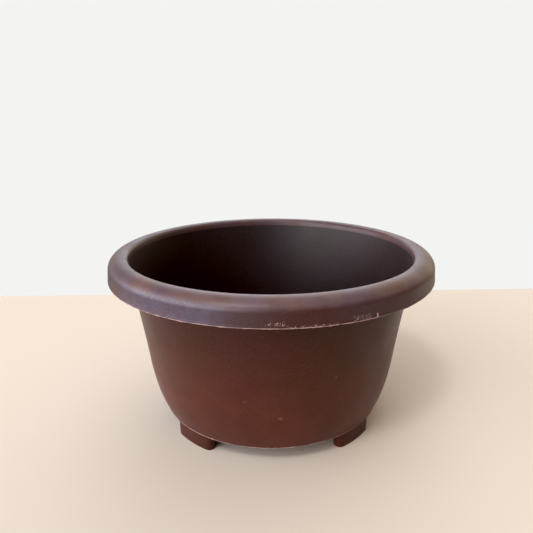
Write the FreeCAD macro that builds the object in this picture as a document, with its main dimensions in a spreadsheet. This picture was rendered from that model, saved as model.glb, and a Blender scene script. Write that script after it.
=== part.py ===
import FreeCAD, Part
import math
import os

import Sketcher

# Bonsai pot, moulded in one go and divided here where the mould divides it.
# Millimetres, +Z up. The origin is the centre of the ring that the feet stand on.

SIZES = [
    ("rim_outer_radius", 140.0, "bottom edge of the rim's skirt"),
    ("skirt_bottom_height", 131.4, "bottom edge of the rim's skirt"),
    ("skirt_top_radius", 139.2, "crease between skirt and crown"),
    ("skirt_top_height", 142.9, "crease between skirt and crown"),
    ("skirt_thickness", 2.4, "wall of the skirt"),
    ("crest_radius", 129.0, "highest ring of the crown"),
    ("crest_height", 150.0, "overall height"),
    ("crest_curve", 17.0, "radius of the flat curve inside the crest"),
    ("lip_start_radius", 125.8, "where the flat curve turns into the lip"),
    ("lip_curve", 4.0, "radius of the inner lip"),
    ("seat_height", 144.0, "joint between wall and crown"),
    ("wall_top_radius", 124.3, "outside of the wall at the joint"),
    ("waist_radius", 110.0, "outside of the wall where the flare starts"),
    ("waist_height", 57.9, "height where the flare starts"),
    ("belly_radius", 105.7, "outside of the wall where the belly starts"),
    ("belly_height", 35.3, "height where the belly starts"),
    ("base_radius", 97.55, "sharp base edge"),
    ("flare_curve", 1240.0, "radius of the flare"),
    ("shell_thickness", 2.2, "wall and crown"),
    ("floor_thickness", 3.0, "base"),
    ("floor_radius", 86.0, "joint between floor and wall"),
    ("cove_curve", 4.0, "inside corner between wall and floor"),
    ("centre_hole_radius", 9.0, "drain hole in the middle"),
    ("ring_hole_radius", 5.0, "each of the drain holes around it"),
    ("ring_radius", 52.0, "circle of the drain holes"),
    ("ring_count", 8, "number of drain holes on the circle"),
    ("foot_height", 13.0, "height of the feet"),
    ("foot_ring_radius", 92.2, "middle of each foot"),
    ("foot_half_width", 5.1, "half of a foot's width at the sole"),
    ("foot_half_angle", 9.4, "degrees from a foot's middle to the centre of its round end"),
    ("foot_draft", 0.9, "degrees, feet widen upwards"),
    ("foot_shell", 2.2, "wall of a hollow foot"),
    ("foot_pocket_depth", 10.8, "hollow in a foot, open below"),
    ("foot_edge_round", 0.6, "outer edge of a foot's sole"),
    ("first_foot_turn", 45.0, "degrees from +X to the middle of the first foot"),
]

# Anticlockwise from the +X side, seen from above
FEET = ["foot_rear_right", "foot_rear_left", "foot_front_left", "foot_front_right"]

START, END, CENTRE = 1, 2, 3
ORIGIN_POINT = (-1, 1)
UP = FreeCAD.Vector(0, 0, 1)


class Size:
    """A number together with the sheet expression that gives it."""

    def __init__(self, value, text):
        self.value = value
        self.text = text

    def __add__(self, other):
        return Size(self.value + other.value, f"({self.text} + {other.text})")

    def __sub__(self, other):
        return Size(self.value - other.value, f"({self.text} - {other.text})")


def make_sheet(doc):
    """Fills the sheet and returns each size by its alias."""
    sheet = doc.addObject("Spreadsheet::Sheet", "sizes")
    sizes = {}
    for row, (alias, value, meaning) in enumerate(SIZES, start=1):
        sheet.set(f"A{row}", alias)
        sheet.set(f"B{row}", str(value))
        sheet.set(f"C{row}", meaning)
        sheet.setAlias(f"B{row}", alias)
        sizes[alias] = Size(value, f"sizes.{alias}")
    doc.recompute()
    return sizes


# Sketch helpers

def new_body(doc, label):
    body = doc.addObject("PartDesign::Body", label)
    body.Label = label
    return body


def origin_feature(body, role):
    return next(item for item in body.Origin.OriginFeatures if item.Role == role)


def new_sketch(body, plane_role, name):
    sketch = body.newObject("Sketcher::SketchObject", name)
    sketch.AttachmentSupport = [(origin_feature(body, plane_role), "")]
    sketch.MapMode = "FlatFace"
    return sketch


def bind(sketch, index, name, size):
    sketch.renameConstraint(index, name)
    sketch.setExpression(f"Constraints.{name}", size.text)


def pin(sketch, edge, end, name, across=None, up=None):
    """Ties one end of an edge to sizes measured from the sketch's origin."""
    if across is not None:
        across_rule = Sketcher.Constraint("DistanceX", *ORIGIN_POINT, edge, end, across.value)
        bind(sketch, sketch.addConstraint(across_rule), f"{name}_across", across)
    if up is not None:
        up_rule = Sketcher.Constraint("DistanceY", *ORIGIN_POINT, edge, end, up.value)
        bind(sketch, sketch.addConstraint(up_rule), f"{name}_up", up)


def set_radius(sketch, edge, name, size):
    index = sketch.addConstraint(Sketcher.Constraint("Radius", edge, size.value))
    bind(sketch, index, name, size)


def set_gap(sketch, first, second, name, size):
    """Keeps two points, each an edge and an end, a given distance apart."""
    index = sketch.addConstraint(Sketcher.Constraint("Distance", *first, *second, size.value))
    bind(sketch, index, name, size)


def join(sketch, first, second):
    sketch.addConstraint(Sketcher.Constraint("Coincident", *first, *second))


def join_smoothly(sketch, first, second):
    sketch.addConstraint(Sketcher.Constraint("Tangent", *first, *second))


def share_centre(sketch, first, second):
    join(sketch, (first, CENTRE), (second, CENTRE))


def draw_line(sketch, start, end):
    return sketch.addGeometry(Part.LineSegment(start, end))


def draw_arc(sketch, centre, start, end):
    """Draws the shorter arc. Sketcher runs it anticlockwise, so it also says which end is which."""
    radius = start.distanceToPoint(centre)
    start_angle = angle_from(centre, start)
    end_angle = angle_from(centre, end)
    clockwise = (end_angle - start_angle) % (2 * math.pi) > math.pi
    if clockwise:
        start_angle, end_angle = end_angle, start_angle
    circle = Part.Circle(centre, UP, radius)
    edge = sketch.addGeometry(Part.ArcOfCircle(circle, start_angle, end_angle))
    return (edge, END, START) if clockwise else (edge, START, END)


# Plane geometry in sketch coordinates: x is the distance from the pot's axis, y the height

def point(across, up):
    return FreeCAD.Vector(across, up, 0)


def angle_from(centre, place):
    return math.atan2(place.y - centre.y, place.x - centre.x)


def unit(vector):
    return FreeCAD.Vector(vector).normalize()


def centre_by_radius(start, end, radius):
    """Centre of an arc of a given radius, on the right-hand side of the way from start to end."""
    half = (end - start) * 0.5
    reach = math.sqrt(radius ** 2 - half.Length ** 2)
    return start + half + unit(point(half.y, -half.x)) * reach


def centre_by_normal(start, end, normal):
    """Centre of the arc from start to end whose radius at start lies along the normal."""
    chord = end - start
    return start + normal * (chord.dot(chord) / (2 * chord.dot(normal)))


def moved_towards(place, centre, distance):
    return place + unit(centre - place) * distance


def at_height(centre, radius, height):
    """The point of a circle at a height, on the side away from the axis."""
    return point(centre.x + math.sqrt(radius ** 2 - (height - centre.y) ** 2), height)


def revolve(body, sketch):
    turn = body.newObject("PartDesign::Revolution", f"{body.Label}_turn")
    turn.Profile = sketch
    turn.ReferenceAxis = (sketch, ["V_Axis"])
    turn.Angle = 360
    sketch.Visibility = False


# Sub-parts

def make_wall(doc, size):
    """Wall in three smooth arcs, with a cove and a flange that carries the floor and feet."""
    thickness = size["shell_thickness"].value
    top = point(size["wall_top_radius"].value, size["seat_height"].value)
    waist = point(size["waist_radius"].value, size["waist_height"].value)
    belly = point(size["belly_radius"].value, size["belly_height"].value)
    base = point(size["base_radius"].value, size["foot_height"].value)
    floor_top = size["foot_height"] + size["floor_thickness"]

    flare_centre = centre_by_radius(waist, top, size["flare_curve"].value)
    waist_centre = centre_by_normal(waist, belly, unit(waist - flare_centre))
    belly_centre = centre_by_normal(belly, base, unit(waist_centre - belly))

    inner_waist = moved_towards(waist, waist_centre, thickness)
    inner_belly = moved_towards(belly, belly_centre, thickness)
    flare_reach = flare_centre.distanceToPoint(inner_waist)
    top_rise = top.y - flare_centre.y
    inner_top = point(flare_centre.x - math.sqrt(flare_reach ** 2 - top_rise ** 2), top.y)

    inner_radius = belly_centre.distanceToPoint(inner_belly)
    cove_radius = size["cove_curve"].value
    cove_height = floor_top.value + cove_radius
    cove_centre = at_height(belly_centre, inner_radius - cove_radius, cove_height)
    cove_top = belly_centre + unit(cove_centre - belly_centre) * inner_radius
    cove_foot = point(cove_centre.x, floor_top.value)
    flange_top = point(size["floor_radius"].value, floor_top.value)
    flange_foot = point(size["floor_radius"].value, base.y)

    body = new_body(doc, "pot_wall")
    sketch = new_sketch(body, "XZ_Plane", "wall_outline")
    flare, flare_low, flare_high = draw_arc(sketch, flare_centre, waist, top)
    middle, middle_low, middle_high = draw_arc(sketch, waist_centre, belly, waist)
    round_base, round_low, round_high = draw_arc(sketch, belly_centre, base, belly)
    top_edge = draw_line(sketch, top, inner_top)
    inner_flare, in_flare_high, in_flare_low = draw_arc(sketch, flare_centre, inner_top, inner_waist)
    inner_middle, in_middle_high, in_middle_low = draw_arc(
        sketch, waist_centre, inner_waist, inner_belly)
    inner_round, in_round_high, in_round_low = draw_arc(sketch, belly_centre, inner_belly, cove_top)
    cove, cove_high, cove_low = draw_arc(sketch, cove_centre, cove_top, cove_foot)
    ledge = draw_line(sketch, cove_foot, flange_top)
    flange = draw_line(sketch, flange_top, flange_foot)
    bottom = draw_line(sketch, flange_foot, base)

    join_smoothly(sketch, (round_base, round_high), (middle, middle_low))
    join_smoothly(sketch, (middle, middle_high), (flare, flare_low))
    join(sketch, (flare, flare_high), (top_edge, START))
    join(sketch, (top_edge, END), (inner_flare, in_flare_high))
    join_smoothly(sketch, (inner_flare, in_flare_low), (inner_middle, in_middle_high))
    join_smoothly(sketch, (inner_middle, in_middle_low), (inner_round, in_round_high))
    join_smoothly(sketch, (inner_round, in_round_low), (cove, cove_high))
    join_smoothly(sketch, (cove, cove_low), (ledge, START))
    join(sketch, (ledge, END), (flange, START))
    join(sketch, (flange, END), (bottom, START))
    join(sketch, (bottom, END), (round_base, round_low))
    share_centre(sketch, flare, inner_flare)
    share_centre(sketch, middle, inner_middle)
    share_centre(sketch, round_base, inner_round)
    for level_edge in (top_edge, ledge, bottom):
        sketch.addConstraint(Sketcher.Constraint("Horizontal", level_edge))
    sketch.addConstraint(Sketcher.Constraint("Vertical", flange))

    pin(sketch, flare, flare_high, "top", size["wall_top_radius"], size["seat_height"])
    pin(sketch, flare, flare_low, "waist", size["waist_radius"], size["waist_height"])
    pin(sketch, middle, middle_low, "belly", size["belly_radius"], size["belly_height"])
    pin(sketch, round_base, round_low, "base", size["base_radius"], size["foot_height"])
    pin(sketch, ledge, END, "flange", size["floor_radius"], floor_top)
    set_radius(sketch, flare, "flare_curve", size["flare_curve"])
    set_radius(sketch, cove, "cove_curve", size["cove_curve"])
    set_gap(sketch, (flare, flare_low), (inner_flare, in_flare_low), "thickness",
            size["shell_thickness"])
    revolve(body, sketch)
    return body


def make_rim_top(doc, size):
    """Rolled crown of the rim: a shell of even thickness from the crease to the inner lip."""
    thickness = size["shell_thickness"].value
    crease = point(size["skirt_top_radius"].value, size["skirt_top_height"].value)
    crest = point(size["crest_radius"].value, size["crest_height"].value)
    down = point(0, -1)
    shoulder_centre = centre_by_normal(crest, crease, down)
    crest_centre = crest + down * size["crest_curve"].value
    lip_offset = size["lip_start_radius"].value - crest.x
    lip_rise = math.sqrt(size["crest_curve"].value ** 2 - lip_offset ** 2)
    lip_start = crest_centre + point(lip_offset, lip_rise)
    lip_centre = moved_towards(lip_start, crest_centre, size["lip_curve"].value)

    # The throat runs down from the lip, level with the outside of the wall at the joint.
    throat_foot = point(size["wall_top_radius"].value, size["seat_height"].value)
    under_lip_radius = size["lip_curve"].value - thickness
    to_foot = throat_foot - lip_centre
    tilt = math.acos(under_lip_radius / to_foot.Length)
    lip_angle = math.atan2(to_foot.y, to_foot.x) - tilt
    lip_normal = point(math.cos(lip_angle), math.sin(lip_angle))
    lip_end = lip_centre + lip_normal * size["lip_curve"].value
    under_lip_end = lip_centre + lip_normal * under_lip_radius
    slope = throat_foot - under_lip_end
    inner_foot = lip_end + slope * ((throat_foot.y - lip_end.y) / slope.y)

    under_crest = crest + down * thickness
    under_lip_start = moved_towards(lip_start, crest_centre, thickness)
    shoulder_radius = shoulder_centre.distanceToPoint(under_crest)
    under_crease = at_height(shoulder_centre, shoulder_radius, crease.y)

    body = new_body(doc, "rim_top")
    sketch = new_sketch(body, "XZ_Plane", "crown_outline")
    shoulder, shoulder_low, shoulder_high = draw_arc(sketch, shoulder_centre, crease, crest)
    top, top_out, top_in = draw_arc(sketch, crest_centre, crest, lip_start)
    lip, lip_high, lip_low = draw_arc(sketch, lip_centre, lip_start, lip_end)
    throat = draw_line(sketch, lip_end, inner_foot)
    foot = draw_line(sketch, inner_foot, throat_foot)
    under_throat = draw_line(sketch, throat_foot, under_lip_end)
    under_lip, under_lip_low, under_lip_high = draw_arc(
        sketch, lip_centre, under_lip_end, under_lip_start)
    under_top, under_in, under_out = draw_arc(sketch, crest_centre, under_lip_start, under_crest)
    under, under_high, under_low = draw_arc(sketch, shoulder_centre, under_crest, under_crease)
    crease_edge = draw_line(sketch, under_crease, crease)

    join(sketch, (shoulder, shoulder_high), (top, top_out))
    join_smoothly(sketch, (top, top_in), (lip, lip_high))
    join_smoothly(sketch, (lip, lip_low), (throat, START))
    join(sketch, (throat, END), (foot, START))
    join(sketch, (foot, END), (under_throat, START))
    join_smoothly(sketch, (under_throat, END), (under_lip, under_lip_low))
    join_smoothly(sketch, (under_lip, under_lip_high), (under_top, under_in))
    join(sketch, (under_top, under_out), (under, under_high))
    join(sketch, (under, under_low), (crease_edge, START))
    join(sketch, (crease_edge, END), (shoulder, shoulder_low))
    share_centre(sketch, shoulder, under)
    share_centre(sketch, top, under_top)
    share_centre(sketch, lip, under_lip)
    sketch.addConstraint(Sketcher.Constraint("Vertical", shoulder, CENTRE, shoulder, shoulder_high))
    sketch.addConstraint(Sketcher.Constraint("Vertical", top, CENTRE, top, top_out))
    sketch.addConstraint(Sketcher.Constraint("Vertical", under, CENTRE, under, under_high))
    sketch.addConstraint(Sketcher.Constraint("Horizontal", foot))
    sketch.addConstraint(Sketcher.Constraint("Horizontal", crease_edge))
    sketch.addConstraint(Sketcher.Constraint("Parallel", throat, under_throat))

    pin(sketch, shoulder, shoulder_low, "crease", size["skirt_top_radius"], size["skirt_top_height"])
    pin(sketch, shoulder, shoulder_high, "crest", size["crest_radius"], size["crest_height"])
    pin(sketch, lip, lip_high, "lip", across=size["lip_start_radius"])
    pin(sketch, foot, END, "foot", size["wall_top_radius"], size["seat_height"])
    set_radius(sketch, top, "crest_curve", size["crest_curve"])
    set_radius(sketch, lip, "lip_curve", size["lip_curve"])
    set_gap(sketch, (shoulder, shoulder_high), (under, under_high), "thickness",
            size["shell_thickness"])
    revolve(body, sketch)
    return body


def make_rim_skirt(doc, size):
    """Upright band of the rim, which leaves a finger channel between itself and the wall."""
    outer_low = (size["rim_outer_radius"], size["skirt_bottom_height"])
    outer_high = (size["skirt_top_radius"], size["skirt_top_height"])
    inner_high = (size["skirt_top_radius"] - size["skirt_thickness"], size["skirt_top_height"])
    inner_low = (size["rim_outer_radius"] - size["skirt_thickness"], size["skirt_bottom_height"])
    corners = [outer_low, outer_high, inner_high, inner_low]
    places = [point(across.value, up.value) for across, up in corners]

    body = new_body(doc, "rim_skirt")
    sketch = new_sketch(body, "XZ_Plane", "skirt_outline")
    following = places[1:] + places[:1]
    edges = [draw_line(sketch, start, end) for start, end in zip(places, following)]
    for edge, next_edge in zip(edges, edges[1:] + edges[:1]):
        join(sketch, (edge, END), (next_edge, START))
    for number, (edge, (across, up)) in enumerate(zip(edges, corners)):
        pin(sketch, edge, START, f"corner_{number}", across, up)
    revolve(body, sketch)
    return body


def draw_hole(body, name, hole_radius, across):
    """A circle on the sketch's X axis, at a distance from the origin."""
    sketch = new_sketch(body, "XY_Plane", name)
    edge = sketch.addGeometry(Part.Circle(point(across.value, 0), UP, hole_radius.value))
    sketch.addConstraint(Sketcher.Constraint("PointOnObject", edge, CENTRE, -1))
    pin(sketch, edge, CENTRE, "place", across=across)
    set_radius(sketch, edge, "hole_radius", hole_radius)
    return sketch


def cut_through(body, sketch, name, depth):
    cut = body.newObject("PartDesign::Pocket", name)
    cut.Profile = sketch
    cut.Reversed = True
    cut.setExpression("Length", depth.text)
    sketch.Visibility = False
    return cut


def make_floor(doc, size):
    """Base disc with one drain hole in the middle and a ring of them around it."""
    body = new_body(doc, "pot_floor")
    disc = new_sketch(body, "XY_Plane", "floor_outline")
    edge = disc.addGeometry(Part.Circle(point(0, 0), UP, size["floor_radius"].value))
    join(disc, (edge, CENTRE), ORIGIN_POINT)
    set_radius(disc, edge, "floor_radius", size["floor_radius"])
    pad = body.newObject("PartDesign::Pad", "floor_disc")
    pad.Profile = disc
    pad.setExpression("Length", size["floor_thickness"].text)
    disc.Visibility = False
    doc.recompute()

    middle = new_sketch(body, "XY_Plane", "centre_hole_outline")
    edge = middle.addGeometry(Part.Circle(point(0, 0), UP, size["centre_hole_radius"].value))
    join(middle, (edge, CENTRE), ORIGIN_POINT)
    set_radius(middle, edge, "hole_radius", size["centre_hole_radius"])
    cut_through(body, middle, "centre_hole", size["floor_thickness"])
    outer = draw_hole(body, "ring_hole_outline", size["ring_hole_radius"], size["ring_radius"])
    ring_hole = cut_through(body, outer, "ring_hole", size["floor_thickness"])
    doc.recompute()

    ring = body.newObject("PartDesign::PolarPattern", "ring_holes")
    ring.Originals = [ring_hole]
    ring.Axis = (origin_feature(body, "Z_Axis"), [""])
    ring.Angle = 360
    ring.setExpression("Occurrences", size["ring_count"].text)
    body.Tip = ring
    body.setExpression("Placement.Base.z", size["foot_height"].text)
    return body


def draw_foot_outline(body, name, size, half_width):
    """Two arcs about the pot's axis, closed by round ends."""
    sketch = new_sketch(body, "XY_Plane", name)
    ring_radius = size["foot_ring_radius"]
    half_angle = math.radians(size["foot_half_angle"].value)
    centre = point(0, 0)
    outer_radius = ring_radius + half_width
    inner_radius = ring_radius - half_width

    def on_ray(radius, angle):
        return point(radius * math.cos(angle), radius * math.sin(angle))

    outer, outer_start, outer_end = draw_arc(
        sketch, centre, on_ray(outer_radius.value, -half_angle), on_ray(outer_radius.value, half_angle))
    inner, inner_start, inner_end = draw_arc(
        sketch, centre, on_ray(inner_radius.value, -half_angle), on_ray(inner_radius.value, half_angle))
    ends = []
    for side in (-1, 1):
        middle = on_ray(ring_radius.value, side * half_angle)
        circle = Part.Circle(middle, UP, half_width.value)
        first = side * half_angle if side > 0 else side * half_angle - math.pi
        ends.append(sketch.addGeometry(Part.ArcOfCircle(circle, first, first + math.pi)))
    low_cap, high_cap = ends

    join(sketch, (outer, CENTRE), ORIGIN_POINT)
    join(sketch, (inner, CENTRE), ORIGIN_POINT)
    join_smoothly(sketch, (outer, outer_end), (high_cap, START))
    join_smoothly(sketch, (high_cap, END), (inner, inner_end))
    join_smoothly(sketch, (inner, inner_start), (low_cap, START))
    join_smoothly(sketch, (low_cap, END), (outer, outer_start))
    set_radius(sketch, outer, "outer_radius", outer_radius)
    set_radius(sketch, inner, "inner_radius", inner_radius)
    for cap, side, cap_name in ((low_cap, -1, "low"), (high_cap, 1, "high")):
        reach = side * ring_radius.value * math.sin(half_angle)
        text = f"{side} * {ring_radius.text} * sin({size['foot_half_angle'].text} * 1 deg)"
        rule = Sketcher.Constraint("DistanceY", *ORIGIN_POINT, cap, CENTRE, reach)
        bind(sketch, sketch.addConstraint(rule), f"{cap_name}_reach", Size(reach, text))
    return sketch


def outer_sole_edges(shape):
    """Names of the edges that bound the sole's outer loop."""
    sole = min(shape.Faces, key=lambda face: face.CenterOfMass.z)
    loop = sole.OuterWire.Edges
    return [f"Edge{number}" for number, edge in enumerate(shape.Edges, start=1)
            if any(edge.isSame(side) for side in loop)]


def make_foot(doc, size, label, number):
    """Hollow foot, open below, that widens a little upwards."""
    body = new_body(doc, label)
    outline = draw_foot_outline(body, "foot_outline", size, size["foot_half_width"])
    block = body.newObject("PartDesign::Pad", "foot_block")
    block.Profile = outline
    block.setExpression("Length", size["foot_height"].text)
    block.setExpression("TaperAngle", size["foot_draft"].text)
    outline.Visibility = False
    doc.recompute()

    rounding = body.newObject("PartDesign::Fillet", "sole_round")
    rounding.Base = (block, outer_sole_edges(block.Shape))
    rounding.setExpression("Radius", size["foot_edge_round"].text)
    doc.recompute()

    hollow_half_width = size["foot_half_width"] - size["foot_shell"]
    hollow = draw_foot_outline(body, "hollow_outline", size, hollow_half_width)
    cut_through(body, hollow, "foot_hollow", size["foot_pocket_depth"])
    turn = size["first_foot_turn"].value + number * 360 / len(FEET)
    body.Placement = FreeCAD.Placement(FreeCAD.Vector(), FreeCAD.Rotation(UP, turn))
    return body


def check(doc, bodies):
    """Stops the script if a feature failed, an outline is loose or a sub-part isn't one sound solid."""
    for obj in doc.Objects:
        if {"Invalid", "Error"} & set(obj.State):
            raise RuntimeError(f"{obj.Name} failed")
        if obj.isDerivedFrom("Sketcher::SketchObject") and not obj.FullyConstrained:
            raise RuntimeError(f"{obj.Name} isn't fully constrained")
    for body in bodies:
        shape = body.Shape
        if shape.isNull() or not shape.isValid() or len(shape.Solids) != 1:
            raise RuntimeError(f"{body.Label} isn't one sound solid")


def main():
    doc = FreeCAD.newDocument("bonsai_pot")
    size = make_sheet(doc)
    bodies = [make_wall(doc, size), make_rim_top(doc, size), make_rim_skirt(doc, size)]
    bodies.append(make_floor(doc, size))
    bodies += [make_foot(doc, size, label, number) for number, label in enumerate(FEET)]
    doc.recompute()
    check(doc, bodies)
    os.makedirs("parts", exist_ok=True)
    for body in bodies:
        body.Shape.exportStep(f"parts/{body.Label}.step")
        print(f"{body.Label}: {body.Shape.Volume:.0f} cubic millimetres")


main()
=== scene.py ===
import math

import bmesh
import bpy
from mathutils import Matrix, Vector, noise


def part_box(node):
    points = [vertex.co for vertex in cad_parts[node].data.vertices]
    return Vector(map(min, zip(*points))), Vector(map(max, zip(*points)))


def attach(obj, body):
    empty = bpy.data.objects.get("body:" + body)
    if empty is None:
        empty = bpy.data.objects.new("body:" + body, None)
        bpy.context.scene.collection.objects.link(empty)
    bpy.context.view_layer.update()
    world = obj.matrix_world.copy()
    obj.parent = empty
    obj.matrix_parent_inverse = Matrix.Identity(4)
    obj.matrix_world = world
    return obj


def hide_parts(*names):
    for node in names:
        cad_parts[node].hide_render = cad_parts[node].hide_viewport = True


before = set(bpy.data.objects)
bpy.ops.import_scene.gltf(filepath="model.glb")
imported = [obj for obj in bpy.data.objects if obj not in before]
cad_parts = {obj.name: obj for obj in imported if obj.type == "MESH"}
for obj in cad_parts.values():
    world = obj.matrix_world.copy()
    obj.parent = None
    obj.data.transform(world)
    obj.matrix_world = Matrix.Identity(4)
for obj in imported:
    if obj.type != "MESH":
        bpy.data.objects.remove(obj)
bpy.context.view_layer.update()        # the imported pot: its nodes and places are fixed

# The object is one maroon plastic moulding. Each node of the frame is shown by a finer piece of the same
# size and place, turned, lofted or cut out here, with the flash, chips and scuffs that mould and use left.
# Profiles are in millimetres, as (distance from the axis, height). Azimuths are in degrees from the front,
# -Y, towards the right, +X.

MM = 0.001
ROOT = "root"


def node_box(name):
    """Lowest and highest corner of a frame node, in millimetres."""
    low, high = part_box(name)
    return low / MM, high / MM


skirt_low, skirt_high = node_box("rim_skirt")
_, crown_high = node_box("rim_top")
wall_low, wall_high = node_box("pot_wall")
floor_low, floor_high = node_box("pot_floor")

# Rim
RIM_RADIUS = skirt_high.x
SKIRT_BOTTOM = skirt_low.z
CREASE = Vector((crown_high.x, skirt_high.z))
SKIRT_THICKNESS = 2.4
CREST = Vector((129.0, crown_high.z))
CREST_CURVE = 17.0
LIP_START_RADIUS = 125.8
LIP_CURVE = 4.0
CREASE_CURVE = 8.0
EDGE_ROUND = 0.35
RIM_STEPS = 720
# Raised pale tick on the skirt, at the right-hand end of the long flash
TICK_AZIMUTH = 28.5
TICK_TOP = 134.3

# Wall
WALL_TOP = Vector((wall_high.x, wall_high.z))
WAIST = Vector((110.0, 57.9))
BELLY = Vector((105.7, 35.3))
BASE = Vector((97.55, wall_low.z))
FLARE_CURVE = 1240.0
SHELL = 2.2
COVE_CURVE = 4.0
WALL_STEPS = 600

# Floor
FLOOR_RADIUS = floor_high.x
FLOOR_TOP = floor_high.z
CENTRE_HOLE_RADIUS = 9.0
RING_HOLE_RADIUS = 5.0
RING_RADIUS = 52.0
RING_COUNT = 8
HOLE_BEVEL = 0.4

# Feet
FOOT_RING_RADIUS = 92.2
FOOT_HALF_WIDTH = 5.1
FOOT_HALF_ANGLE = math.radians(9.4)
FOOT_SPREAD = 0.2
FOOT_SHELL = 2.2
FOOT_POCKET = 10.8
FOOT_ROUND = 0.6
FOOT_EDGE = 0.3
FOOT_AZIMUTHS = {
    "foot_front_left": -45,
    "foot_front_right": 45,
    "foot_rear_right": 135,
    "foot_rear_left": 225,
}

ARC_STEP = math.radians(6)
FEWEST_ARC_STEPS = 12
SAME_POINT = 1e-4        # closer points of an outline count as one
MERGE_DISTANCE = 0.001 * MM


# Plane geometry

def unit(vector):
    return vector.normalized()


def arc(centre, start, end):
    """Points of the shorter arc from start to end, both included."""
    first = math.atan2(start.y - centre.y, start.x - centre.x)
    sweep = math.atan2(end.y - centre.y, end.x - centre.x) - first
    sweep = (sweep + math.pi) % (2 * math.pi) - math.pi
    steps = max(FEWEST_ARC_STEPS, math.ceil(abs(sweep) / ARC_STEP))
    radius = (start - centre).length
    angles = [first + sweep * step / steps for step in range(steps + 1)]
    return [centre + Vector((math.cos(a), math.sin(a))) * radius for a in angles]


def centre_by_radius(start, end, radius):
    """Centre of an arc, on the right-hand side of the way from start to end."""
    half = (end - start) / 2
    reach = math.sqrt(radius ** 2 - half.length_squared)
    return start + half + unit(Vector((half.y, -half.x))) * reach


def centre_by_normal(start, end, normal):
    """Centre of the arc from start to end whose radius at start lies along the normal."""
    chord = end - start
    return start + normal * (chord.length_squared / (2 * chord.dot(normal)))


def offset_arc(centre, points, distance):
    """The same arc, a distance closer to its centre. A negative distance moves it away."""
    return [point + unit(centre - point) * distance for point in points]


def joined(*runs):
    """One run of points, without the doubled ones where two runs meet."""
    points = []
    for run in runs:
        for point in run:
            if not points or (point - points[-1]).length > SAME_POINT:
                points.append(point)
    return points


def rounded_corner(before, corner, after, radius):
    """A few points that round off a corner which is about square."""
    start = corner + unit(before - corner) * radius
    end = corner + unit(after - corner) * radius
    steps = 4
    shares = [step / steps for step in range(steps + 1)]
    return [start * (1 - s) ** 2 + corner * 2 * s * (1 - s) + end * s ** 2 for s in shares]


def smooth_step(low, high, value):
    """Rises from 0 at low to 1 at high, or falls if low is the larger."""
    share = min(1.0, max(0.0, (value - low) / (high - low)))
    return share * share * (3 - 2 * share)


# Meshes

def new_piece(name, mesh, node, *materials, sharp_angle=40):
    """A finished piece that stands for a frame node and moves with it.

    Edges sharper than sharp_angle, in degrees, are shaded as edges.
    """
    for face in mesh.polygons:
        face.use_smooth = True
    mesh.set_sharp_from_angle(angle=math.radians(sharp_angle))
    for material in materials:
        mesh.materials.append(material)
    piece = bpy.data.objects.new(name, mesh)
    bpy.context.scene.collection.objects.link(piece)
    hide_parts(node)
    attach(piece, ROOT)
    return piece


def even_turn(steps, extra=()):
    """Azimuths of a whole turn, with extra ones where a small feature needs them."""
    azimuths = [360 * step / steps for step in range(steps)] + list(extra)
    return sorted({round(azimuth, 3) for azimuth in azimuths})


def turned_mesh(name, outline, azimuths, detail, outer_count=None):
    """Turns a closed outline round the axis. detail moves a point by its azimuth.

    Faces after the outline's first outer_count points take the second material.
    """
    count = len(outline)
    places = []
    for azimuth in azimuths:
        turn = math.radians(azimuth)
        across, along = math.sin(turn), -math.cos(turn)
        for point in outline:
            radius, height = detail(azimuth, point)
            places.append((radius * across * MM, radius * along * MM, height * MM))
    faces = []
    for step in range(len(azimuths)):
        here, there = step * count, (step + 1) % len(azimuths) * count
        for index in range(count):
            following = (index + 1) % count
            faces.append((here + index, there + index, there + following, here + following))
    mesh = bpy.data.meshes.new(name)
    mesh.from_pydata(places, [], faces)
    if outer_count is not None:
        for number, face in enumerate(mesh.polygons):
            face.material_index = int(number % count >= outer_count)
    facing_out(mesh)
    return mesh


def facing_out(mesh):
    """Joins points that lie on each other and turns every face outwards."""
    shape = bmesh.new()
    shape.from_mesh(mesh)
    bmesh.ops.remove_doubles(shape, verts=shape.verts, dist=MERGE_DISTANCE)
    bmesh.ops.recalc_face_normals(shape, faces=shape.faces)
    shape.to_mesh(mesh)
    shape.free()


def lofted_mesh(name, loops):
    """Skins closed loops of equal length one after another and caps both ends."""
    count = len(loops[0])
    places = [(x * MM, y * MM, z * MM) for loop in loops for x, y, z in loop]
    faces = []
    for row in range(len(loops) - 1):
        for index in range(count):
            following = (index + 1) % count
            low, high = row * count, (row + 1) * count
            faces.append((low + index, low + following, high + following, high + index))
    faces.append(tuple(range(count)))
    faces.append(tuple((len(loops) - 1) * count + index for index in range(count)))
    mesh = bpy.data.meshes.new(name)
    mesh.from_pydata(places, [], faces)
    facing_out(mesh)
    return mesh


# Irregularities of the moulding

UNEVENNESS = 0.12


def around(azimuth, scale, seed):
    """Smooth noise from -1 to 1 round the pot, with about scale bumps to a radian."""
    turn = math.radians(azimuth)
    return noise.noise(Vector((math.cos(turn) * scale, math.sin(turn) * scale, seed)))


def as_moulded(azimuth, point):
    """The slight unevenness that the whole moulding shares."""
    sway = UNEVENNESS * around(azimuth, 1.3, point.y * 0.01)
    return point.x + sway, point.y


# Outlines and pieces

# Azimuths of the chips on the base edge, from -180 to 180. Those from -10 to 22 are as in the
# photograph, and the others are invented.
BASE_CHIPS = (-159.0, -94.0, -31.0, -9.8, -3.9, -0.6, 2.5, 7.1, 8.6, 16.2, 20.6, 21.9, 71.0, 118.0, 163.0)
CHIP_REACH = 0.5         # degrees either side
CHIP_SIZE = 0.55
BURR_RAGGEDNESS = 0.16
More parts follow.
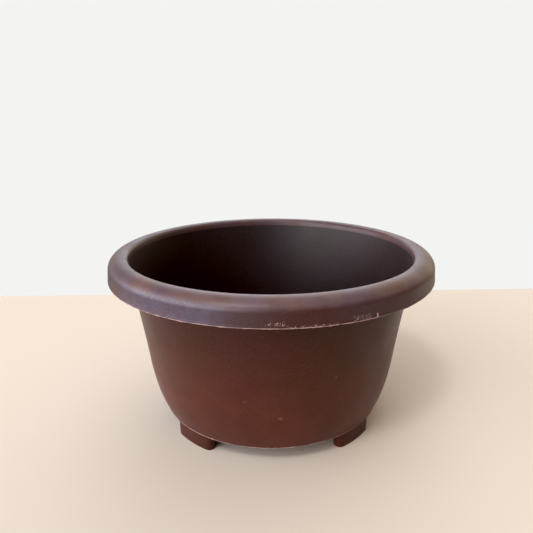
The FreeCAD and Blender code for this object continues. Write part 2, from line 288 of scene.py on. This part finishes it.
# Cross-section of the flash along the base edge, from the wall down to the underside:
# outwards and upwards from the edge itself
BASE_BEAD = [(0.27, 0.6), (0.24, 0.42), (0.42, 0.30), (0.44, 0.16), (0.2, 0.0), (-0.6, 0.0)]
BASE_BEAD_HEIGHT = 0.65


def wall_curves():
    """Centres of the flare, waist and belly arcs."""
    flare = centre_by_radius(WAIST, WALL_TOP, FLARE_CURVE)
    waist = centre_by_normal(WAIST, BELLY, unit(WAIST - flare))
    belly = centre_by_normal(BELLY, BASE, unit(waist - BELLY))
    return flare, waist, belly


def wall_outline():
    """Closed outline of the wall, and how many of its points are on the outside."""
    flare, waist, belly = wall_curves()
    flare_run = arc(flare, WALL_TOP, WAIST)
    waist_run = arc(waist, WAIST, BELLY)
    whole_belly_run = arc(belly, BELLY, BASE)
    belly_run = [point for point in whole_belly_run if point.y > BASE.y + BASE_BEAD_HEIGHT]
    bead = [BASE + Vector(shift) for shift in BASE_BEAD]

    inner_flare = offset_arc(flare, flare_run, -SHELL)
    inner_waist = offset_arc(waist, waist_run, SHELL)
    inner_belly = offset_arc(belly, whole_belly_run, SHELL)
    inner_radius = (inner_belly[0] - belly).length
    cove_height = FLOOR_TOP + COVE_CURVE
    reach = inner_radius - COVE_CURVE
    cove = Vector((belly.x + math.sqrt(reach ** 2 - (cove_height - belly.y) ** 2), cove_height))
    cove_top = belly + unit(cove - belly) * inner_radius
    cove_foot = Vector((cove.x, FLOOR_TOP))
    inner_belly = [point for point in inner_belly if point.y > cove_top.y]
    cove_run = arc(cove, cove_top, cove_foot)
    ledge = [Vector((FLOOR_RADIUS, FLOOR_TOP)), Vector((FLOOR_RADIUS, BASE.y))]
    outside = joined(flare_run, waist_run, belly_run, bead)
    inside = joined(inner_flare, inner_waist, inner_belly, cove_run, ledge)
    return outside + inside[::-1], len(outside)


def base_flash(azimuth, point):
    """The thin burr where the two halves of the mould met, with chips standing out from it."""
    radius, height = as_moulded(azimuth, point)
    on_burr = 0.05 < point.y - BASE.y < 0.45 and point.x > BASE.x + 0.1
    if on_burr:
        ragged = 0.5 + 0.7 * around(azimuth, 22, 4.0) + 0.4 * around(azimuth, 70, 5.0)
        radius += BURR_RAGGEDNESS * max(-0.6, ragged) - 0.05
        for chip in BASE_CHIPS:
            away = abs((azimuth - chip + 180) % 360 - 180)
            radius += CHIP_SIZE * smooth_step(CHIP_REACH, 0.3 * CHIP_REACH, away)
    return radius, height


def make_wall(outer_material, shaded_inner_material):
    outline, outer_count = wall_outline()
    steps_at_chips = [(chip + shift) % 360 for chip in BASE_CHIPS for shift in (-0.45, -0.2, 0.2, 0.45)]
    azimuths = even_turn(WALL_STEPS, steps_at_chips)
    mesh = turned_mesh("wall_shell", outline, azimuths, base_flash, outer_count)
    return new_piece("wall_shell", mesh, "pot_wall", outer_material, shaded_inner_material)


def shoulder_centre():
    """Centre of the arc that falls from the crest to the crease."""
    return centre_by_normal(CREST, CREASE, Vector((0, -1)))


def crease_curve():
    """The curve that softens the crease: its centre, its end on the skirt, its end on the shoulder."""
    shoulder = shoulder_centre()
    up = unit(CREASE - Vector((RIM_RADIUS, SKIRT_BOTTOM)))
    inward = Vector((-up.y, up.x))
    to_shoulder = shoulder - CREASE
    reach = (CREASE - shoulder).length - CREASE_CURVE
    sink = to_shoulder.dot(inward) - CREASE_CURVE
    shift = to_shoulder.dot(up) + math.sqrt(reach ** 2 - sink ** 2)
    on_skirt = CREASE + up * shift
    centre = on_skirt + inward * CREASE_CURVE
    return centre, on_skirt, centre + unit(centre - shoulder) * CREASE_CURVE


def crease_split(centre):
    """Point of the softened crease at the height where the crown stands on the skirt."""
    rise = CREASE.y - centre.y
    return Vector((centre.x + math.sqrt(CREASE_CURVE ** 2 - rise ** 2), CREASE.y))


def crown_outline():
    """Shell from the crease over the shoulder, crest and lip to the top of the wall, and back inside."""
    shoulder = shoulder_centre()
    crease, _, on_shoulder = crease_curve()
    crest = CREST - Vector((0, CREST_CURVE))
    lip_offset = LIP_START_RADIUS - CREST.x
    lip_start = crest + Vector((lip_offset, math.sqrt(CREST_CURVE ** 2 - lip_offset ** 2)))
    lip = lip_start + unit(crest - lip_start) * LIP_CURVE
    under_curve = LIP_CURVE - SHELL
    to_foot = WALL_TOP - lip
    angle = math.atan2(to_foot.y, to_foot.x) - math.acos(under_curve / to_foot.length)
    normal = Vector((math.cos(angle), math.sin(angle)))
    lip_end = lip + normal * LIP_CURVE
    under_end = lip + normal * under_curve
    slope = WALL_TOP - under_end
    inner_foot = lip_end + slope * ((WALL_TOP.y - lip_end.y) / slope.y)

    crease_run = arc(crease, crease_split(crease), on_shoulder)
    shoulder_run = arc(shoulder, on_shoulder, CREST)
    crest_run = arc(crest, CREST, lip_start)
    lip_run = arc(lip, lip_start, lip_end)
    outside = joined(crease_run, shoulder_run, crest_run, lip_run, [inner_foot])
    under_shoulder = [point for point in offset_arc(shoulder, arc(shoulder, CREASE, CREST), SHELL)
                      if point.y > CREASE.y]
    under_crease = Vector((CREASE.x - SKIRT_THICKNESS, CREASE.y))
    under_crest = offset_arc(crest, crest_run, SHELL)
    under_lip = arc(lip, under_crest[-1], under_end)
    inside = joined([under_crease], under_shoulder, under_crest, under_lip, [WALL_TOP])
    return outside + inside[::-1]


def make_crown(material):
    mesh = turned_mesh("rim_crown", crown_outline(), even_turn(RIM_STEPS), as_moulded)
    return new_piece("rim_crown", mesh, "rim_top", material)


# Cross-section of the flash under the rim, from the skirt's outer face to its underside:
# outwards and upwards from the bottom edge
RIM_BEAD = [(-0.02, 1.0), (0.0, 0.5), (0.0, 0.28), (-0.02, 0.0), (-0.12, -0.12), (-0.35, 0.0)]
FIN_LENGTH = 0.45
FIN_FLARE = 0.1
TICK_STANDS_OUT = 0.16
TICK_LEAN = 0.03         # degrees for each millimetre up


def rim_flash(azimuth, point):
    """The ragged fin along the skirt's bottom edge, and the tick at its right-hand end."""
    radius, height = as_moulded(azimuth, point)
    share = smooth_step(0.3, -0.12, point.y - SKIRT_BOTTOM) * (point.x > RIM_RADIUS - 0.3)
    ragged = 0.35 + 0.5 * around(azimuth, 14, 1.0) + 0.6 * around(azimuth, 60, 2.0)
    on_outside = point.x > RIM_RADIUS - 1.2
    tick = smooth_step(0.4, 0.15, abs(azimuth - TICK_AZIMUTH - TICK_LEAN * (point.y - SKIRT_BOTTOM)))
    tick *= on_outside * smooth_step(TICK_TOP + 0.8, TICK_TOP - 0.4, point.y)
    radius += FIN_FLARE * share * ragged + TICK_STANDS_OUT * tick
    return radius, height - FIN_LENGTH * share * max(0.0, ragged)


def skirt_outline():
    """Upright band below the crease, in rows that the tick can bend, with the flash at its bottom edge."""
    bottom_edge = Vector((RIM_RADIUS, SKIRT_BOTTOM))
    crease, on_skirt, _ = crease_curve()
    outer_rows = 8
    shares = [row / outer_rows for row in range(outer_rows)]
    outside = joined(arc(crease, crease_split(crease), on_skirt),
                     [on_skirt.lerp(bottom_edge, share) for share in shares])
    bead = [bottom_edge + Vector(shift) for shift in RIM_BEAD]
    inner_low = Vector((RIM_RADIUS - SKIRT_THICKNESS, SKIRT_BOTTOM))
    inner_high = Vector((CREASE.x - SKIRT_THICKNESS, CREASE.y))
    corner = rounded_corner(bead[-1], inner_low, inner_high, EDGE_ROUND)
    return joined(outside, bead, corner, [inner_high])


def make_skirt(material):
    steps_at_tick = [TICK_AZIMUTH + shift for shift in (-0.45, -0.25, -0.12, 0.12, 0.25, 0.45)]
    mesh = turned_mesh("rim_band", skirt_outline(), even_turn(RIM_STEPS, steps_at_tick), rim_flash)
    return new_piece("rim_band", mesh, "rim_skirt", material)


def circle_spline(curve, radius, steps, x=0.0, y=0.0):
    spline = curve.splines.new("POLY")
    spline.points.add(steps - 1)
    for step, point in enumerate(spline.points):
        turn = 2 * math.pi * step / steps
        point.co = (x + radius * math.cos(turn), y + radius * math.sin(turn), 0, 1)
    spline.use_cyclic_u = True


def make_floor(material):
    """Flat disc with drain holes, every edge slightly broken."""
    thickness = (FLOOR_TOP - floor_low.z) * MM
    bevel = HOLE_BEVEL * MM
    curve = bpy.data.curves.new("floor_outline", "CURVE")
    curve.dimensions = "2D"
    curve.fill_mode = "BOTH"
    curve.extrude = thickness / 2 - bevel
    curve.bevel_depth = bevel
    curve.bevel_resolution = 3
    circle_spline(curve, FLOOR_RADIUS * MM, 240)
    circle_spline(curve, CENTRE_HOLE_RADIUS * MM + bevel, 72)
    for number in range(RING_COUNT):
        turn = 2 * math.pi * number / RING_COUNT
        x = RING_RADIUS * MM * math.cos(turn)
        y = RING_RADIUS * MM * math.sin(turn)
        circle_spline(curve, RING_HOLE_RADIUS * MM + bevel, 48, x, y)
    holder = bpy.data.objects.new("floor_outline", curve)
    mesh = bpy.data.meshes.new_from_object(holder)
    mesh.name = "base_plate"
    mesh.materials.clear()
    mesh.transform(Matrix.Translation((0, 0, floor_low.z * MM + thickness / 2)))
    bpy.data.objects.remove(holder)
    facing_out(mesh)
    # The steps of the bevel are shaded apart, so that the flat faces beside them look flat
    return new_piece("base_plate", mesh, "pot_floor", material, sharp_angle=10)


def foot_loop(azimuth, half_width, height):
    """One level of a foot: an arc-shaped slot about the pot's axis, with round ends."""
    side_steps, cap_steps = 16, 12
    middle = math.radians(azimuth)
    loop = []
    for side in (1, -1):
        side_radius = FOOT_RING_RADIUS + side * half_width
        for step in range(side_steps + 1):
            swing = middle + side * FOOT_HALF_ANGLE * (2 * step / side_steps - 1)
            loop.append((side_radius * math.sin(swing), -side_radius * math.cos(swing), height))
        end = middle + side * FOOT_HALF_ANGLE
        for step in range(1, cap_steps):
            turn = math.pi * step / cap_steps
            radius = FOOT_RING_RADIUS + side * half_width * math.cos(turn)
            beyond = side * half_width * math.sin(turn)
            x = radius * math.sin(end) + beyond * math.cos(end)
            y = -radius * math.cos(end) + beyond * math.sin(end)
            loop.append((x, y, height))
    return loop


def make_foot(node, azimuth, material):
    """Hollow foot with a rounded sole, open below."""
    top = BASE.y
    inner = FOOT_HALF_WIDTH - FOOT_SHELL
    levels = [(FOOT_HALF_WIDTH + FOOT_SPREAD * share, top * share) for share in (1, 0.75, 0.5, 0.25)]
    for degrees in (0, 22, 45, 68, 90):
        turn = math.radians(degrees)
        inset = FOOT_ROUND * (1 - math.cos(turn))
        levels.append((FOOT_HALF_WIDTH - inset, FOOT_ROUND * (1 - math.sin(turn))))
    levels += [(inner + FOOT_EDGE, 0), (inner, FOOT_EDGE), (inner, FOOT_POCKET)]
    loops = [foot_loop(azimuth, half_width, height) for half_width, height in levels]
    mesh = lofted_mesh(f"{node}_shell", loops)
    return new_piece(f"{node}_shell", mesh, node, material)


# Materials

class Graph:
    """Adds nodes to a tree; each call gives back the socket to use next."""

    def __init__(self, tree, coordinates="Object"):
        self.nodes = tree.nodes
        self.links = tree.links
        self.place = self.nodes.new("ShaderNodeTexCoord").outputs[coordinates]

    def feed(self, value, socket):
        if isinstance(value, bpy.types.NodeSocket):
            self.links.new(value, socket)
        else:
            socket.default_value = value

    def math(self, operation, first, second=0.0):
        node = self.nodes.new("ShaderNodeMath")
        node.operation = operation
        self.feed(first, node.inputs[0])
        self.feed(second, node.inputs[1])
        return node.outputs[0]

    def ramp(self, value, low, high, out_low=0.0, out_high=1.0):
        """A smooth rise from out_low to out_high while value goes from low to high."""
        node = self.nodes.new("ShaderNodeMapRange")
        node.interpolation_type = "SMOOTHSTEP"
        self.feed(value, node.inputs["Value"])
        node.inputs["From Min"].default_value = low
        node.inputs["From Max"].default_value = high
        node.inputs["To Min"].default_value = out_low
        node.inputs["To Max"].default_value = out_high
        return node.outputs["Result"]

    def band(self, value, low, high, soft):
        """One between low and high, fading to nothing over soft on each side."""
        rise = self.ramp(value, low - soft, low)
        fall = self.ramp(value, high, high + soft, 1.0, 0.0)
        return self.math("MULTIPLY", rise, fall)

    def noise(self, size_mm, detail=2.0):
        """Noise whose features are about size_mm across."""
        node = self.nodes.new("ShaderNodeTexNoise")
        node.inputs["Scale"].default_value = 1 / (size_mm * MM)
        node.inputs["Detail"].default_value = detail
        self.feed(self.place, node.inputs["Vector"])
        return node.outputs["Fac"]

    def mix(self, factor, first, second):
        node = self.nodes.new("ShaderNodeMix")
        node.data_type = "RGBA"
        colours = [socket for socket in node.inputs if socket.type == "RGBA"]
        self.feed(factor, node.inputs["Factor"])
        self.feed(first, colours[0])
        self.feed(second, colours[1])
        return next(socket for socket in node.outputs if socket.type == "RGBA")

    def dot(self, vector, direction):
        node = self.nodes.new("ShaderNodeVectorMath")
        node.operation = "DOT_PRODUCT"
        self.feed(vector, node.inputs[0])
        self.feed(direction, node.inputs[1])
        return node.outputs["Value"]

    def background(self, colour, strength=1.0):
        node = self.nodes.new("ShaderNodeBackground")
        self.feed(colour, node.inputs["Color"])
        self.feed(strength, node.inputs["Strength"])
        return node.outputs["Background"]

    def bump(self, height, depth_mm, strength, normal=None):
        node = self.nodes.new("ShaderNodeBump")
        node.inputs["Strength"].default_value = strength
        node.inputs["Distance"].default_value = depth_mm * MM
        self.feed(height, node.inputs["Height"])
        if normal is not None:
            self.feed(normal, node.inputs["Normal"])
        return node.outputs["Normal"]

    def azimuth(self):
        """Degrees from the front towards the right."""
        parts = self.nodes.new("ShaderNodeSeparateXYZ")
        self.feed(self.place, parts.inputs["Vector"])
        back = self.math("MULTIPLY", parts.outputs["Y"], -1.0)
        turn = self.math("ARCTAN2", parts.outputs["X"], back)
        return self.math("MULTIPLY", turn, math.degrees(1))

    def height(self):
        """Millimetres above the table."""
        parts = self.nodes.new("ShaderNodeSeparateXYZ")
        self.feed(self.place, parts.inputs["Vector"])
        return self.math("MULTIPLY", parts.outputs["Z"], 1 / MM)


def new_material(name):
    """A material, the graph to build it with, and its shader."""
    material = bpy.data.materials.new(name)
    material.use_nodes = True
    tree = material.node_tree
    shader = next(node for node in tree.nodes if node.type == "BSDF_PRINCIPLED")
    return material, Graph(tree), shader


# Colours of the plastic, and of what moulding and handling left on it, with painted light and shade among
# them
MAROON = (0.062, 0.0140, 0.0100, 1)
BROWN = (0.048, 0.0135, 0.0066, 1)
# The rim's purple is painted cool light on the rim: the pot is one plastic.
COOL_LIT_PURPLE = (0.043, 0.0160, 0.0175, 1)
RUSSET = (0.085, 0.0208, 0.0125, 1)
DARK_MAROON = (0.043, 0.0108, 0.0088, 1)
DARK_BROWN = (0.037, 0.0106, 0.0050, 1)
# The inside's two colours are the plastic darkened with painted shade, deep inside the pot.
SHADED_INNER = (0.020, 0.0090, 0.0100, 1)
SHADED_INNER_BROWN = (0.020, 0.0082, 0.0070, 1)
# These two colours paint a pale sheen on the top of the rim.
WARM_PAINTED_SHEEN = (0.148, 0.078, 0.066, 1)
COOL_PAINTED_SHEEN = (0.122, 0.074, 0.088, 1)
PALE_WEAR = (0.42, 0.28, 0.26, 1)
GREY_BLOOM = (0.24, 0.20, 0.23, 1)
# The lilac is a painted sheen.
LILAC_PAINTED_SHEEN = (0.11, 0.115, 0.21, 1)
POLYPROPYLENE_IOR = 1.49
WEAR_ROUGHNESS = 0.2


def plastic(name, colours=(MAROON, BROWN), gloss=0.42, rough=0.40,
            top_sheen_mask=None, tone_and_shade=None, wear=None, sheen_and_speckles=None):
    """Satin moulded polypropylene.

    gloss is the specular level and rough the middle of the roughness. Each mask is a function of the graph.
    """
    material, graph, shader = new_material(name)
    cloud = graph.ramp(graph.noise(45, 3.0), 0.38, 0.62)
    colour = graph.mix(cloud, *colours)
    # Painted shade on the wall, darker under the rim; inside, a redder tone towards the bottom.
    if tone_and_shade is not None:
        colour = graph.mix(tone_and_shade(graph), colour, RUSSET)
    # A pale painted sheen over the top of the rim.
    if top_sheen_mask is not None:
        tint = graph.mix(graph.ramp(graph.noise(28, 2.0), 0.4, 0.6), WARM_PAINTED_SHEEN, COOL_PAINTED_SHEEN)
        patchy = graph.ramp(graph.noise(12, 3.0), 0.3, 0.7, 0.55, 0.85)
        colour = graph.mix(graph.math("MULTIPLY", top_sheen_mask(graph), patchy), colour, tint)
    grain = graph.ramp(graph.noise(1.0, 2.0), 0.5, 0.8, 0.0, 0.09)
    colour = graph.mix(grain, colour, GREY_BLOOM)
    roughness = graph.ramp(graph.noise(25, 2.0), 0.3, 0.7, rough - 0.03, rough + 0.04)
    # A lilac painted sheen, and grey speckles of wear in it.
    if sheen_and_speckles is not None:
        sheen, speckles = sheen_and_speckles(graph)
        colour = graph.mix(sheen, colour, LILAC_PAINTED_SHEEN)
        colour = graph.mix(speckles, colour, GREY_BLOOM)
    if wear is not None:
        mask = wear(graph)
        colour = graph.mix(mask, colour, PALE_WEAR)
        roughness = graph.math("ADD", roughness, graph.math("MULTIPLY", mask, WEAR_ROUGHNESS))
    fine = graph.bump(graph.noise(0.6, 1.0), 0.03, 0.4)
    normal = graph.bump(graph.noise(9.0, 2.0), 0.12, 0.10, fine)
    graph.feed(colour, shader.inputs["Base Color"])
    graph.feed(roughness, shader.inputs["Roughness"])
    graph.feed(normal, shader.inputs["Normal"])
    shader.inputs["IOR"].default_value = POLYPROPYLENE_IOR
    shader.inputs["Specular IOR Level"].default_value = gloss
    return material


def patch(graph, azimuths, heights, soft):
    """An area between two azimuths and two heights, with soft edges in degrees and millimetres."""
    return graph.math("MULTIPLY", graph.band(graph.azimuth(), *azimuths, soft[0]),
                      graph.band(graph.height(), *heights, soft[1]))


def most(graph, masks):
    """The strongest of several masks."""
    total = masks[0]
    for mask in masks[1:]:
        total = graph.math("MAXIMUM", total, mask)
    return total


# Heights over which the painted sheen on the top of the rim comes in
SHEEN_START = 141.0
SHEEN_FULL = 146.5


def rim_painted_sheen(graph):
    """Grey painted sheen over the top of the rim, where it catches the light, patchy like worn plastic;
    gone at the skirt, and strongest at the front.
    """
    front = graph.math("MAXIMUM", graph.band(graph.azimuth(), -40, 40, 45), 0.5)
    return graph.math("MULTIPLY", graph.ramp(graph.height(), SHEEN_START, SHEEN_FULL), front)


# Rubbed places on the skirt: azimuths, heights, softness in degrees and millimetres, strength
RUBBED_PLACES = (
    ((-3, 1.5), (133.4, 135.6), (1.2, 0.8), 1.0),
    ((3, 16), (131, 132.6), (1.5, 0.8), 1.0),
    ((21, 26), (131.6, 135.2), (1.0, 0.8), 1.0),
    ((-50, -32), (131.5, 135.5), (6, 2.0), 0.3),
)
FLASH_START = -75        # azimuth where the pale flash begins; it ends at the tick


def rim_edge_wear(graph):
    """Pale flash along the skirt's bottom edge, the tick, and the rubbed places above."""
    broken = graph.ramp(graph.noise(5.0, 3.0), 0.35, 0.6, 0.4, 1.0)
    front = graph.math("MAXIMUM", graph.band(graph.azimuth(), FLASH_START, TICK_AZIMUTH, 0.6), 0.3)
    low_edge = graph.ramp(graph.height(), SKIRT_BOTTOM + 0.15, SKIRT_BOTTOM + 0.5, 1.0, 0.0)
    line = graph.math("MULTIPLY", graph.math("MULTIPLY", low_edge, broken), front)
    speckle = graph.ramp(graph.noise(0.8, 2.0), 0.54, 0.64, 0.0, 0.75)
    rubbed = most(graph, [graph.math("MULTIPLY", patch(graph, azimuths, heights, soft), strength)
                          for azimuths, heights, soft, strength in RUBBED_PLACES])
    tick_width = (TICK_AZIMUTH - 0.1, TICK_AZIMUTH + 0.3)
    tick = patch(graph, tick_width, (SKIRT_BOTTOM, TICK_TOP), (0.12, 0.5))
    return most(graph, [line, graph.math("MULTIPLY", rubbed, speckle), tick])


def rim_sheen_and_speckles(graph):
    """On the front left of the rim: a lilac painted sheen, and grey speckles of handling in it."""
    uneven = graph.ramp(graph.noise(8, 3.0), 0.3, 0.7, 0.16, 0.30)
    sheen = graph.math("MULTIPLY", patch(graph, (-48, -22), (131, 144.5), (12, 2.5)), uneven)
    area = patch(graph, (-44, -27), (142.9, 145.2), (7, 1.6))
    speckle = graph.ramp(graph.noise(1.2, 3.0), 0.52, 0.72, 0.03, 0.5)
    return sheen, graph.math("MULTIPLY", area, speckle)


def wall_painted_shade(graph):
    """Painted shade: the wall is darker under the rim's overhang, and a little redder and lighter towards
    the base.
    """
    drift = graph.ramp(graph.noise(30, 2.0), 0.3, 0.7, 0.6, 1.0)
    return graph.math("MULTIPLY", graph.ramp(graph.height(), 124.0, 35.0), drift)


def inner_fade(graph):
    """The inside is redder at the bottom, and so is the floor."""
    return graph.ramp(graph.height(), 45.0, 18.0, 0.0, 0.6)


# Small scuffs on the wall: azimuth, height, size across and up in millimetres, strength.
# The last three are invented.
WALL_SCUFFS = (
    (1.4, 45.6, 1.7, 1.0, 0.13),
    (22.9, 77.0, 0.7, 0.7, 0.13),
    (-12.4, 60.0, 0.8, 0.8, 0.10),
    (26.5, 56.5, 0.6, 0.6, 0.10),
    (-63.0, 88.0, 0.5, 5.0, 0.16),
    (96.0, 70.0, 1.2, 0.7, 0.25),
    (171.0, 52.0, 1.6, 0.9, 0.15),
)

# Heights between which the burr and the chips are pale
BURR_FOOT = BASE.y + 0.14
BURR_TOP = BASE.y + 0.45
CHIP_TOP = BASE.y + 1.1


def wall_wear(graph):
    """Thin pale burr along the base edge with stronger chips, and a few faint scuffs above it."""
    azimuth, height = graph.azimuth(), graph.height()
    broken = graph.ramp(graph.noise(5.0, 3.0), 0.3, 0.6, 0.30, 0.75)
    masks = [graph.math("MULTIPLY", graph.band(height, BURR_FOOT, BURR_TOP, 0.12), broken)]
    chip_height = graph.band(height, BURR_FOOT, CHIP_TOP, 0.15)
    for chip in BASE_CHIPS:
        masks.append(graph.math("MULTIPLY", chip_height, graph.band(azimuth, chip, chip, 0.4)))
    for centre, level, across, up, strength in WALL_SCUFFS:
        reach = math.degrees(across / WAIST.x)
        azimuths = (centre - reach / 2, centre + reach / 2)
        heights = (level - up / 2, level + up / 2)
        masks.append(graph.math("MULTIPLY", patch(graph, azimuths, heights, (reach, up)), strength))
    return most(graph, masks)


# Camera, floor and light

# Where the photograph's camera stood, in metres from the pot's axis and from the table
CAMERA_AZIMUTH = math.radians(-2.2)
CAMERA_DISTANCE = 0.4507
CAMERA_HEIGHT = 0.2641
CAMERA_PITCH = math.radians(16.34)
CAMERA_YAW = math.radians(-0.50)
CAMERA_ROLL = math.radians(-0.28)
CAMERA_LENS = 35.54

# How far the table top reaches from the pot's axis
STAGE_SIDE = 1.6
STAGE_FRONT = 1.6
STAGE_BACK = 0.309
TABLE_COLOUR = (0.73, 0.63, 0.53, 1)
TABLE_ROUGHNESS = 0.85
TABLE_GLOSS = 0.15


def make_camera():
    data = bpy.data.cameras.new("camera")
    data.lens = CAMERA_LENS
    camera = bpy.data.objects.new("camera", data)
    bpy.context.scene.collection.objects.link(camera)
    heading = CAMERA_YAW - CAMERA_AZIMUTH
    level = math.cos(CAMERA_PITCH)
    forward = Vector((math.sin(heading) * level, math.cos(heading) * level, -math.sin(CAMERA_PITCH)))
    right = forward.cross(Vector((0, 0, 1))).normalized()
    up = right.cross(forward)
    rolled_right = right * math.cos(CAMERA_ROLL) + up * math.sin(CAMERA_ROLL)
    rolled_up = up * math.cos(CAMERA_ROLL) - right * math.sin(CAMERA_ROLL)
    axes = Matrix((rolled_right, rolled_up, -forward)).transposed()
    place = Vector((math.sin(CAMERA_AZIMUTH) * CAMERA_DISTANCE,
                    -math.cos(CAMERA_AZIMUTH) * CAMERA_DISTANCE, CAMERA_HEIGHT))
    camera.matrix_world = Matrix.Translation(place) @ axes.to_4x4()
    bpy.context.scene.camera = camera


def make_stage():
    """Plain pale table top, which ends a little behind the pot."""
    corners = [(-STAGE_SIDE, -STAGE_FRONT, 0), (STAGE_SIDE, -STAGE_FRONT, 0),
               (STAGE_SIDE, STAGE_BACK, 0), (-STAGE_SIDE, STAGE_BACK, 0)]
    mesh = bpy.data.meshes.new("stage_floor")
    mesh.from_pydata(corners, [], [(0, 1, 2, 3)])
    material, _, shader = new_material("stage_floor")
    shader.inputs["Base Color"].default_value = TABLE_COLOUR
    shader.inputs["Roughness"].default_value = TABLE_ROUGHNESS
    shader.inputs["Specular IOR Level"].default_value = TABLE_GLOSS
    mesh.materials.append(material)
    stage = bpy.data.objects.new("stage_floor", mesh)
    bpy.context.scene.collection.objects.link(stage)


# Soft patches of light round the pot: (azimuth, degrees above the horizon, brightness, sharpness).
# The narrow one throws the soft-edged shadow to the right. The brightnesses of the wide ones started from
# a least-squares fit of test renders to the photograph, and were then rounded and partly changed.
WIDE = 12
NARROW = 260
WINDOW_LIGHT = (0.97, 0.99, 1.04, 1)
WINDOW_SIDE = [
    (326, 55, 34.0, NARROW),
    (270, 8, 5.4, WIDE),
    (315, 8, 7.3, WIDE),
    (225, 8, 0.53, WIDE),
    (180, 8, 1.6, WIDE),
    (315, 40, 1.1, WIDE),
    (180, 40, 2.0, WIDE),
    (0, 90, 1.45, WIDE),
]
ROOM_LIGHT = (1.0, 0.81, 0.56, 1)
ROOM_SIDE = [
    (135, 8, 1.25, WIDE),
    (135, 40, 0.95, WIDE),
    (90, 40, 0.42, WIDE),
    (45, 40, 0.62, WIDE),
]
BACKDROP = (0.90, 0.905, 0.89, 1)


def glow(graph, patches):
    """How bright some soft patches of light are together, in each direction."""
    total = 0.0
    for azimuth, above, brightness, sharpness in patches:
        turn, rise = math.radians(azimuth), math.radians(above)
        level = math.cos(rise)
        centre = (math.sin(turn) * level, -math.cos(turn) * level, math.sin(rise))
        facing = graph.math("MAXIMUM", graph.dot(graph.place, centre), 0.0)
        light = graph.math("MULTIPLY", graph.math("POWER", facing, sharpness), brightness)
        total = graph.math("ADD", light, total)
    return total


def make_world():
    """Soft light, cool at the left, warm and dimmer at the right. The camera sees a plain backdrop."""
    world = bpy.data.worlds.new("studio")
    world.use_nodes = True
    world.node_tree.nodes.clear()
    bpy.context.scene.world = world
    graph = Graph(world.node_tree, "Generated")
    both_sides = graph.nodes.new("ShaderNodeAddShader")
    graph.feed(graph.background(WINDOW_LIGHT, glow(graph, WINDOW_SIDE)), both_sides.inputs[0])
    graph.feed(graph.background(ROOM_LIGHT, glow(graph, ROOM_SIDE)), both_sides.inputs[1])
    seen = graph.nodes.new("ShaderNodeMixShader")
    graph.feed(graph.nodes.new("ShaderNodeLightPath").outputs["Is Camera Ray"], seen.inputs["Fac"])
    graph.feed(both_sides.outputs["Shader"], seen.inputs[1])
    graph.feed(graph.background(BACKDROP), seen.inputs[2])
    output = graph.nodes.new("ShaderNodeOutputWorld")
    graph.feed(seen.outputs["Shader"], output.inputs["Surface"])


SHADOW_LEVEL = 0.006


def set_contrast():
    """The deepest shadows fall to black, as a camera shows them."""
    settings = bpy.context.scene.view_settings
    settings.view_transform = "Standard"
    settings.use_curve_mapping = True
    settings.curve_mapping.black_level = [SHADOW_LEVEL] * 3
    settings.curve_mapping.update()


def main():
    make_camera()
    make_stage()
    make_world()
    set_contrast()

    # The inside and the floor are darkened with painted shade.
    shaded_inner_material = plastic("inner_plastic_painted_shade", (SHADED_INNER, SHADED_INNER_BROWN), gloss=0.38, rough=0.49, tone_and_shade=inner_fade)
    wall_colours = (DARK_MAROON, DARK_BROWN)
    outer_material = plastic("wall_plastic", wall_colours, gloss=0.22, tone_and_shade=wall_painted_shade, wear=wall_wear)
    make_wall(outer_material, shaded_inner_material)
    # The rim is tinted purple with painted cool light, and carries painted sheens.
    cool_lit_rim_colours = (COOL_LIT_PURPLE, DARK_MAROON)
    make_crown(plastic("crown_plastic", cool_lit_rim_colours, top_sheen_mask=rim_painted_sheen, sheen_and_speckles=rim_sheen_and_speckles))
    make_skirt(plastic("skirt_plastic", cool_lit_rim_colours, gloss=0.36, top_sheen_mask=rim_painted_sheen, sheen_and_speckles=rim_sheen_and_speckles,
                       wear=rim_edge_wear))
    make_floor(shaded_inner_material)
    foot_material = plastic("foot_plastic", gloss=0.22)
    for node, azimuth in FOOT_AZIMUTHS.items():
        make_foot(node, azimuth, foot_material)


main()
